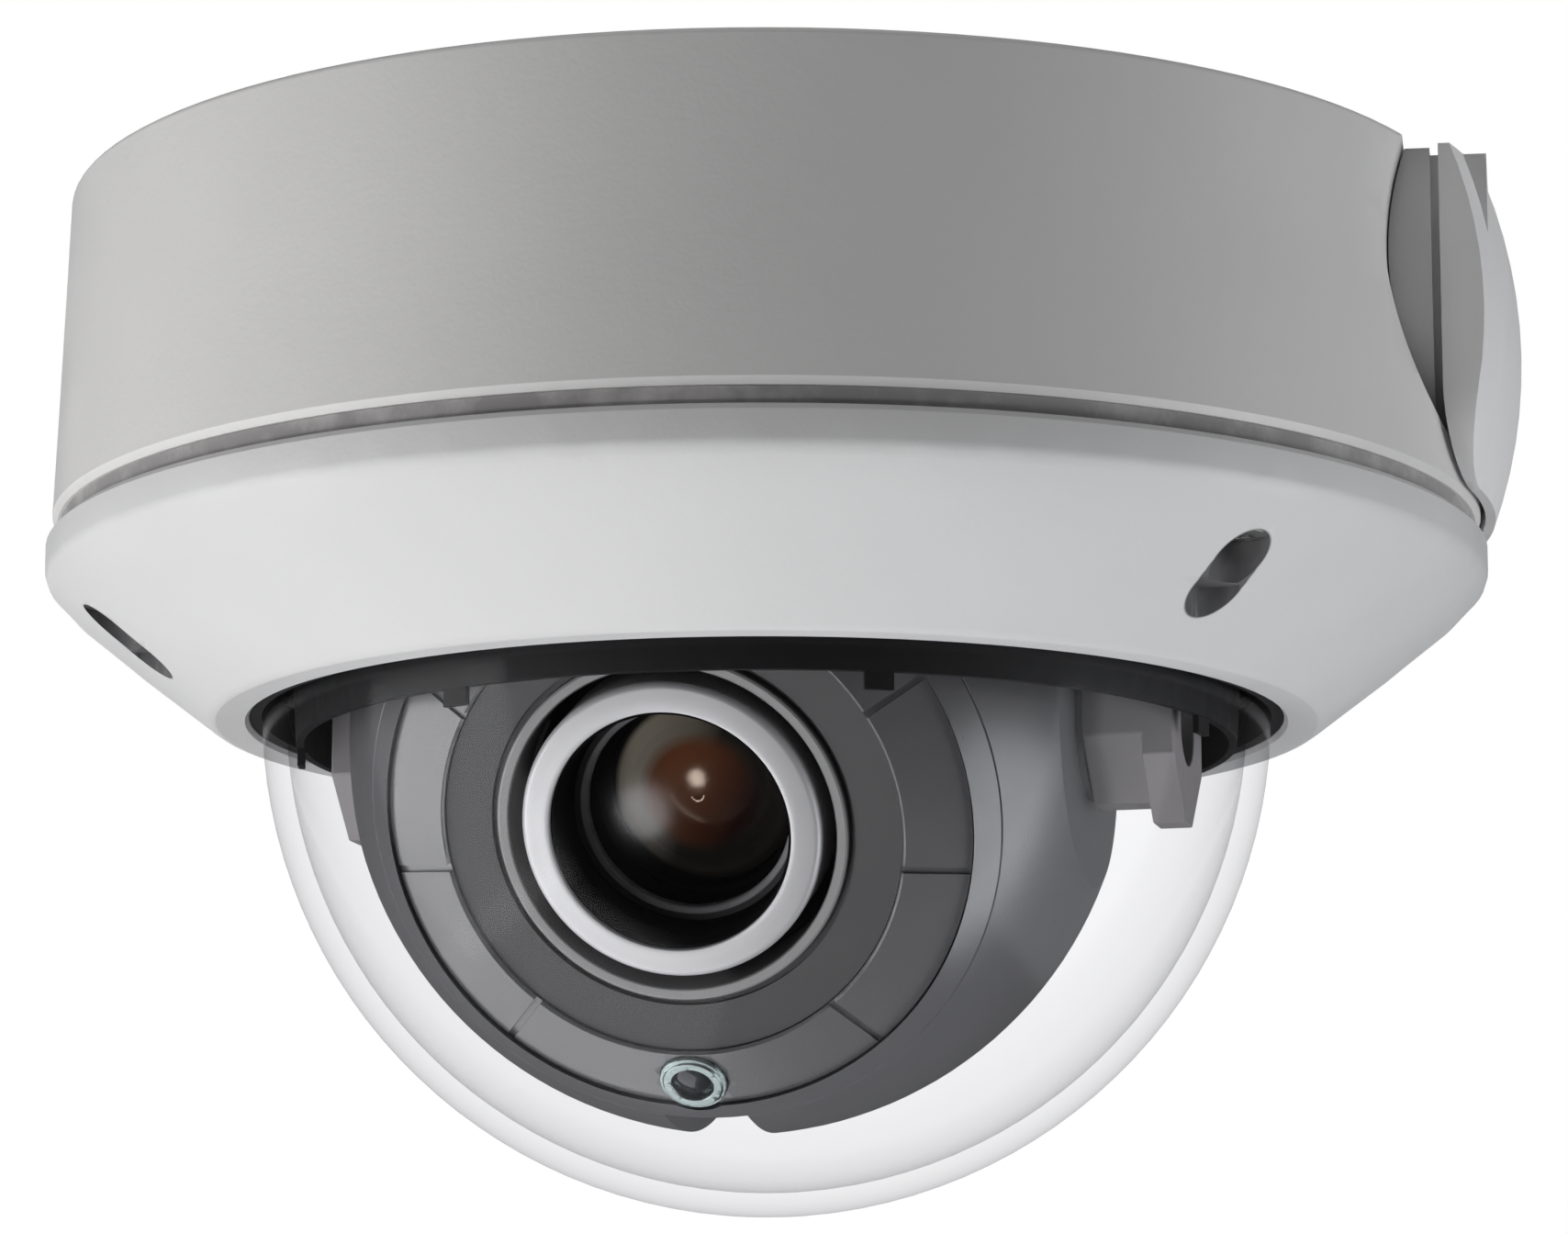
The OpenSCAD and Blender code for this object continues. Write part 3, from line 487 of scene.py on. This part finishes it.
def finish_piece(piece, body, slot, *nodes):
    """Rides a piece on its body, with its slot's material, in place of any CAD nodes named."""
    piece.data.materials.append(MATERIALS[slot])
    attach(piece, body)
    if nodes:
        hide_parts(*nodes)


def bezel_outline():
    """Silver bezel: a broad sloping face, between a rounded outer edge and a sharp inner one."""
    outline = [(13.25, 20.4), (14.5, 20.4), (14.66, 20.56)]
    outline += [(13.86 + 0.8 * math.cos(a), 28.3 + 0.8 * math.sin(a))
                for a in (math.radians(9 * i) for i in range(10))]
    outline += [(13.4, 29.19), (12.8, 29.31), (12.3, 29.39), (12, 29.41)]
    outline += [(11.85, 29.34), (11.78, 29.15)]
    outline += [(11.78, 24.7), (11.83, 24.65), (13.25, 24.65)]
    return outline


def thread_outline():
    """Black sleeve inside the bezel, cut with fine anti-glare threads."""
    outline = [(11.76, 24.7), (11.76, 28.9), (11.7, 28.96)]
    for thread in range(10):
        z = 28.9 - 0.4 * thread
        outline += [(11.56, z), (11.46, z - 0.12), (11.46, z - 0.22), (11.58, z - 0.34)]
    outline += [(11.5, 24.76), (11.56, 24.7)]
    return outline


finish_piece(lathe("crowned_lens_bezel", bezel_outline()),
             "lens_module", "lens_silver", "lens_bezel")
finish_piece(lathe("bezel_thread_sleeve", thread_outline()), "lens_module", "lens_black")


# ---------------------------------------------------------------- small parts on the boards

def place_at(frame_matrix, centre, turn):
    """A small part's own frame: at a centre in millimetres on a board, turned by degrees."""
    spot = Vector(centre) * MM
    return frame_matrix @ Matrix.Translation(spot) @ Matrix.Rotation(math.radians(turn), 4, "Z")


def box_cluster(name, boxes, edge):
    """Many small moulded boxes in one mesh; each is (frame, centre, size) in millimetres."""
    mesh = bmesh.new()
    for frame_matrix, centre, size in boxes:
        for vert in bmesh.ops.create_cube(mesh, size=1)["verts"]:
            local = Vector([(c + v * d) * MM for c, v, d in zip(centre, vert.co, size)])
            vert.co = frame_matrix @ local
    bmesh.ops.bevel(mesh, geom=list(mesh.edges), offset=edge * MM, segments=2,
                    affect="EDGES", profile=0.6)
    for face in mesh.faces:
        face.smooth = True
    piece = mesh_object(name, mesh)
    normals = piece.modifiers.new("even_shading", "WEIGHTED_NORMAL")
    normals.keep_sharp = False
    return piece


def surface_parts(spots, chips):
    """Boxes of resistors and leaded chips that hang under a board's face, at local z 0.

    A spot is a small part's frame; a chip is its frame, its width and its depth."""
    bodies, metal = [], []
    for spot in spots:
        bodies.append((spot, (0, 0, -0.25), RESISTOR_BODY))
        metal += [(spot, (side * 0.72, 0, -0.22), RESISTOR_END) for side in (-1, 1)]
    for spot, width, depth in chips:
        bodies.append((spot, (0, 0, -0.75), (width, depth, CHIP_HEIGHT)))
        for lead in range(4):
            x = (lead - 1.5) * LEAD_PITCH
            metal += [(spot, (x, side * (depth / 2 + 0.35), -0.12), LEAD_SIZE)
                      for side in (-1, 1)]
    return bodies, metal


def populate(board_name, body, spots, chips):
    bodies, metal = surface_parts(spots, chips)
    finish_piece(box_cluster(board_name + "_small_parts", bodies, 0.06), body, "black_component")
    finish_piece(box_cluster(board_name + "_solder_ends", metal, 0.04), body, "screw_steel")


def board_spot(azimuth, radius, turn=0):
    """A place under the power board, by azimuth from the front to the right, and by radius."""
    a = math.radians(azimuth)
    centre = (radius * math.sin(a), -radius * math.cos(a), POWER_BOARD_FACE)
    return place_at(Matrix(), centre, azimuth + turn)


populate("power_board", "base",
         [board_spot(a, r, t) for a, r, t in (
             (121, 50.5, 0), (121, 58.5, 90), (130, 50, 0), (130, 59, 0), (141, 49.5, 0),
             (152, 50, 90), (152, 53, 0), (152, 56, 0), (155.5, 59.5, 90), (168, 49.5, 0),
             (168, 59.5, 0), (171, 59.5, 0), (180.5, 49.5, 90), (184, 58.5, 0), (188, 58.5, 0),
             (194, 50, 0), (205, 50, 0), (208, 56, 90))],
         [(board_spot(155.5, 54.5), 5.2, 3.9), (board_spot(177, 58.2), 5.2, 3.2),
          (board_spot(206, 53.2), 5.2, 3.9)])

BACK_OF_LENS = EYE_FRAME @ Matrix.Translation((0, 0, PROCESSOR_BOARD_FACE * MM))
populate("processor_board", "lens_module",
         [place_at(BACK_OF_LENS, (x, y, 0), t) for x, y, t in (
             (-9, -6.5, 90), (-11, -6.5, 90), (-9, -3, 90), (-11, -3, 90), (-13.5, -3, 90),
             (-9, 0.5, 90), (-13.5, 0.5, 0), (-9, 7.5, 0), (9, -6.5, 90), (11, -6.5, 90),
             (13.5, -5, 0), (9, 6.5, 0), (9, 8.5, 0), (13.5, 7, 90), (-13.5, 6.5, 90),
             (8, 13, 0), (-8, 14, 0))],
         [(place_at(BACK_OF_LENS, (11.6, 1, 0), 90), 5.2, 3.6),
          (place_at(BACK_OF_LENS, (-12, 3.6, 0), 0), 5.2, 3)])


# ---------------------------------------------------------------- floor, light and camera

def area_light(name, azimuth, elevation, distance, size, power,
               colour=(1, 1, 1), shape="RECTANGLE"):
    """A softbox that faces the object from an azimuth, counted from the front to the right."""
    data = bpy.data.lights.new(name, "AREA")
    data.shape = shape
    data.size, data.size_y = size
    data.energy = power
    data.color = colour
    lamp = add_object(name, data)
    turn, rise = math.radians(azimuth), math.radians(elevation)
    level = math.cos(rise)
    away = Vector((math.sin(turn) * level, -math.cos(turn) * level, math.sin(rise)))
    lamp.location = Vector(LIGHT_TARGET) + away * distance
    lamp.rotation_mode = "QUATERNION"
    lamp.rotation_quaternion = away.to_track_quat("Z", "Y")
    lamp.visible_camera = False


area_light("left_softbox", -78, -18, 0.95, (0.7, 0.8), 5.5)
area_light("right_softbox", 84, -22, 0.95, (0.65, 0.8), 5.6, (0.97, 0.985, 1.0))
area_light("low_softbox", -30, -29, 0.9, (0.17, 0.17), 1.15, shape="ELLIPSE")
area_light("floor_light", -84, -58, 0.95, (0.8, 0.8), 4.0)
area_light("top_softbox", 0, 86, 1.0, (0.7, 0.7), 2.8)


def white_world(ambient):
    """White behind the object, and a dim even light everywhere else."""
    world = bpy.data.worlds.new("studio")
    world.use_nodes = True
    tree = world.node_tree
    tree.nodes.clear()
    seen = tree.nodes.new("ShaderNodeBackground")
    seen.inputs["Color"].default_value = (1, 1, 1, 1)
    lit = tree.nodes.new("ShaderNodeBackground")
    lit.inputs["Color"].default_value = (ambient, ambient, ambient, 1)
    path = tree.nodes.new("ShaderNodeLightPath")
    mix = tree.nodes.new("ShaderNodeMixShader")
    out = tree.nodes.new("ShaderNodeOutputWorld")
    tree.links.new(path.outputs["Is Camera Ray"], mix.inputs[0])
    tree.links.new(lit.outputs[0], mix.inputs[1])
    tree.links.new(seen.outputs[0], mix.inputs[2])
    tree.links.new(mix.outputs[0], out.inputs[0])
    bpy.context.scene.world = world


white_world(AMBIENT)


def pale_floor(height, half_width):
    """A floor that bounces light as paint does, and looks evenly lit to the camera."""
    mesh = bpy.data.meshes.new("floor")
    corners = [(x * half_width, y * half_width, height)
               for x, y in ((-1, -1), (1, -1), (1, 1), (-1, 1))]
    mesh.from_pydata(corners, [], [(0, 1, 2, 3)])
    floor = add_object("floor", mesh)
    g = Graph("floor_paint")
    tone = g.blend(g.spread(g.noise(3), 0, 1), (0.85, 0.85, 0.855), (0.87, 0.87, 0.875))
    paint = g.principled(Base_Color=tone, Roughness=0.8)
    evenly_lit = g.node("ShaderNodeEmission", {"Color": tone, "Strength": 1.0}).outputs[0]
    seen = g.node("ShaderNodeLightPath").outputs["Is Camera Ray"]
    mixed = g.node("ShaderNodeMixShader", {0: seen, 1: paint, 2: evenly_lit}).outputs[0]
    mesh.materials.append(g.close(mixed))


pale_floor(FLOOR_HEIGHT, FLOOR_HALF_WIDTH)

camera_data = bpy.data.cameras.new("camera")
camera_data.lens = CAMERA_LENS
camera_data.sensor_width = CAMERA_SENSOR
camera_data.sensor_fit = "HORIZONTAL"
camera_data.clip_start = 0.01
camera = add_object("camera", camera_data)
camera.location = CAMERA_PLACE
camera.rotation_euler = (math.radians(CAMERA_PITCH), 0, math.radians(CAMERA_YAW))
bpy.context.scene.camera = camera
bpy.context.scene.view_settings.view_transform = "Standard"
